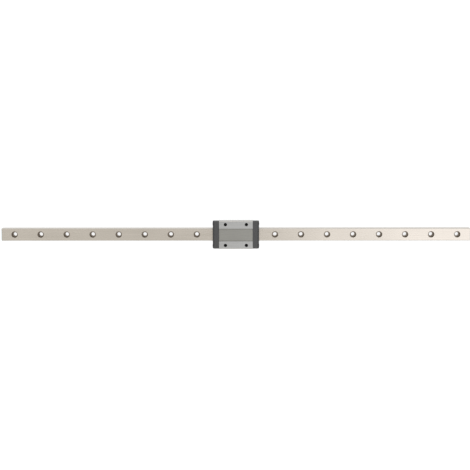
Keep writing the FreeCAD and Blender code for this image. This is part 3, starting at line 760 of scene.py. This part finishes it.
def make_screw(end, row, turn, side, steps=6):
    """A small low-headed screw with a cross recess."""
    height = screw_high.x - HEAD_SEAT
    length = HEAD_SEAT - screw_low.x
    profile = [
        (AXIS_RADIUS, -length),
        (SHANK_RADIUS, -length),
        (SHANK_RADIUS, 0),
        (head_radius - HEAD_RIM, 0),
        (head_radius, HEAD_RIM),
    ]
    for step in range(steps + 1):
        angle = math.pi / 2 * step / steps
        radius = max(head_radius * math.cos(angle), AXIS_RADIUS)
        profile.append((radius, height - HEAD_CROWN + HEAD_CROWN * math.sin(angle)))
    screw = lathe("screw", profile)
    for angle in (0, math.pi / 2):
        combine(screw, [cross_tool(height, angle)])
    at(screw, along_x(HEAD_SEAT, side * screw_y, screw_z), turn)
    finish_piece(screw, f"cap_screw_{end}_{row}", "turned", "carriage", [screw_steel])


def make_wire(row, turn, steps=8, sides=16):
    """A round wire along the rail's slot, with both ends bent into the caps."""
    end_x = wire_high.x - wire_radius
    path = [(end_x, wire_high.y)]
    path += arc((end_x - WIRE_BEND, wire_y + WIRE_BEND), WIRE_BEND, 0, -90, steps)
    path += [(-x, y) for x, y in reversed(path)]
    rings = []
    for i, (x, y) in enumerate(path):
        before = path[max(i - 1, 0)]
        after = path[min(i + 1, len(path) - 1)]
        way = Vector((after[0] - before[0], after[1] - before[1])).normalized()
        section = circle(wire_radius, ball_z, sides)
        rings.append([(x - way.y * out, y + way.x * out, height + up) for out, up, height in section])
    wire = at(stitched("wire", rings), turn)
    finish_piece(wire, f"retaining_wire_{row}", "drawn", "carriage", [bright_steel])


def loop_point(distance):
    """A point at a distance along the closed path of the balls, loaded row first."""
    straight = 2 * block_end
    half_turn = math.pi * LOOP_RADIUS
    if distance < straight:
        return block_end - distance, BALL_ROW
    distance -= straight
    if distance < half_turn:
        angle = distance / LOOP_RADIUS
        return -block_end - LOOP_RADIUS * math.sin(angle), LOOP_MIDDLE - LOOP_RADIUS * math.cos(angle)
    distance -= half_turn
    if distance < straight:
        return -block_end + distance, RETURN_ROW
    angle = (distance - straight) / LOOP_RADIUS
    return block_end + LOOP_RADIUS * math.sin(angle), LOOP_MIDDLE + LOOP_RADIUS * math.cos(angle)


def make_balls(row, turn):
    """One circuit of round balls."""
    spacing = (4 * block_end + 2 * math.pi * LOOP_RADIUS) / BALL_COUNT
    circuit = bmesh.new()
    for i in range(BALL_COUNT):
        x, y = loop_point((i + 0.5) * spacing)
        bmesh.ops.create_icosphere(circuit, subdivisions=3, radius=BALL_RADIUS,
                                   matrix=Matrix.Translation((x, y, ball_z)))
    mesh = bpy.data.meshes.new("balls")
    circuit.to_mesh(mesh)
    circuit.free()
    balls = bpy.data.objects.new("balls", mesh)
    bpy.context.scene.collection.objects.link(balls)
    at(balls, turn)
    finish_piece(balls, f"ball_circuit_{row}", "polished", "carriage", [bright_steel])


make_rail()
make_block()
for end, turn, back in (("right", STAY, 1), ("left", TURN, -1)):
    make_cap(end, turn)
    make_seal(end, turn)
    make_screw(end, "back", turn, back)
    make_screw(end, "front", turn, -back)
for row, turn in (("back", STAY), ("front", TURN)):
    make_wire(row, turn)
    make_balls(row, turn)


# Stage, light and camera.


FLOOR_REACH = 12.0
FLOOR_DROP = 0.05 * MM
FLOOR_PAINT = (0.35, 0.35, 0.35, 1)
FLOOR_GLOW = 0.87
WORLD_SEEN = 1.0
WORLD_LIGHT = 0.55
CAMERA_TARGET = Vector((-0.75 * MM, -0.50 * MM, rail_top))
CAMERA_DISTANCE = 1.3987
CAMERA_TILT = math.radians(6.2)
CAMERA_ROLL = math.radians(-0.04)
CAMERA_ANGLE = math.radians(18.33)
CAMERA_SENSOR = 36.0
CAMERA_CLIP = 0.01


def seen_directly(tree, level, hidden=0.0):
    """A value of level for camera, glossy and transmission rays, and of hidden for other rays."""
    path = tree.nodes.new("ShaderNodeLightPath")
    seen = path.outputs["Is Camera Ray"]
    for kind in ("Is Glossy Ray", "Is Transmission Ray"):
        either = tree.nodes.new("ShaderNodeMath")
        either.operation = "MAXIMUM"
        tree.links.new(seen, either.inputs[0])
        tree.links.new(path.outputs[kind], either.inputs[1])
        seen = either.outputs[0]
    strength = tree.nodes.new("ShaderNodeMapRange")
    strength.inputs["To Min"].default_value = hidden
    strength.inputs["To Max"].default_value = level
    tree.links.new(seen, strength.inputs["Value"])
    return strength.outputs["Result"]


def make_floor():
    """A wide pale floor that glows white where it is seen, with the object's shadow on its paint."""
    corners = [(x * FLOOR_REACH, y * FLOOR_REACH, 0) for x, y in SQUARE]
    floor = mesh_object("floor", corners, [[0, 1, 2, 3]])
    floor.location.z = -FLOOR_DROP
    material = bpy.data.materials.new("floor_white")
    material.use_nodes = True
    tree = material.node_tree
    tree.nodes.clear()
    output = tree.nodes.new("ShaderNodeOutputMaterial")
    paint = tree.nodes.new("ShaderNodeBsdfDiffuse")
    paint.inputs["Color"].default_value = FLOOR_PAINT
    glow = tree.nodes.new("ShaderNodeEmission")
    both = tree.nodes.new("ShaderNodeAddShader")
    tree.links.new(seen_directly(tree, FLOOR_GLOW), glow.inputs["Strength"])
    tree.links.new(paint.outputs["BSDF"], both.inputs[0])
    tree.links.new(glow.outputs["Emission"], both.inputs[1])
    tree.links.new(both.outputs["Shader"], output.inputs["Surface"])
    floor.data.materials.append(material)


def make_world():
    """Even surroundings: white where they are seen, and softer as a light."""
    world = bpy.data.worlds.new("studio")
    bpy.context.scene.world = world
    world.use_nodes = True
    tree = world.node_tree
    tree.nodes.clear()
    output = tree.nodes.new("ShaderNodeOutputWorld")
    room = tree.nodes.new("ShaderNodeBackground")
    room.inputs["Color"].default_value = (1, 1, 1, 1)
    tree.links.new(seen_directly(tree, WORLD_SEEN, WORLD_LIGHT), room.inputs["Strength"])
    tree.links.new(room.outputs["Background"], output.inputs["Surface"])


def softbox(name, place, target, size, brightness, tint=(1.0, 1.0, 1.0)):
    """An area lamp aimed at a point. Its power follows from its brightness and its size."""
    lamp = bpy.data.lights.new(name, "AREA")
    lamp.shape = "RECTANGLE"
    lamp.size, lamp.size_y = size
    lamp.color = tint
    lamp.energy = brightness * math.pi * size[0] * size[1]
    obj = bpy.data.objects.new(name, lamp)
    obj.location = place
    obj.rotation_euler = (Vector(target) - Vector(place)).to_track_quat("-Z", "Y").to_euler()
    bpy.context.scene.collection.objects.link(obj)


def make_camera():
    """Almost straight down, from the back, as in the photograph."""
    camera = bpy.data.cameras.new("camera")
    camera.sensor_width = CAMERA_SENSOR
    camera.lens = CAMERA_SENSOR / 2 / math.tan(CAMERA_ANGLE / 2)
    camera.clip_start = CAMERA_CLIP
    obj = bpy.data.objects.new("camera", camera)
    upwards = Vector((0, math.sin(CAMERA_TILT), math.cos(CAMERA_TILT)))
    obj.location = CAMERA_TARGET + CAMERA_DISTANCE * upwards
    obj.rotation_euler = (-CAMERA_TILT, 0, CAMERA_ROLL)
    bpy.context.scene.collection.objects.link(obj)
    bpy.context.scene.camera = obj


make_floor()
make_world()
softbox("overhead", place=(0, 0, 1.75), target=(0, 0, 0), size=(2.2, 2.2), brightness=0.10)
softbox("right", place=(0.64, -0.145, 1.5), target=(0.64, -0.145, 0), size=(0.9, 0.9), brightness=1.46,
        tint=(0.89, 0.905, 1.0))
softbox("left", place=(-0.98, -0.145, 1.5), target=(-0.98, -0.145, 0), size=(0.6, 0.6), brightness=1.1)
softbox("back", place=(0.16, 1.1, 0.105), target=(0, 0, 0), size=(1.6, 0.15), brightness=0.8)
make_camera()
bpy.context.scene.view_settings.view_transform = "Standard"
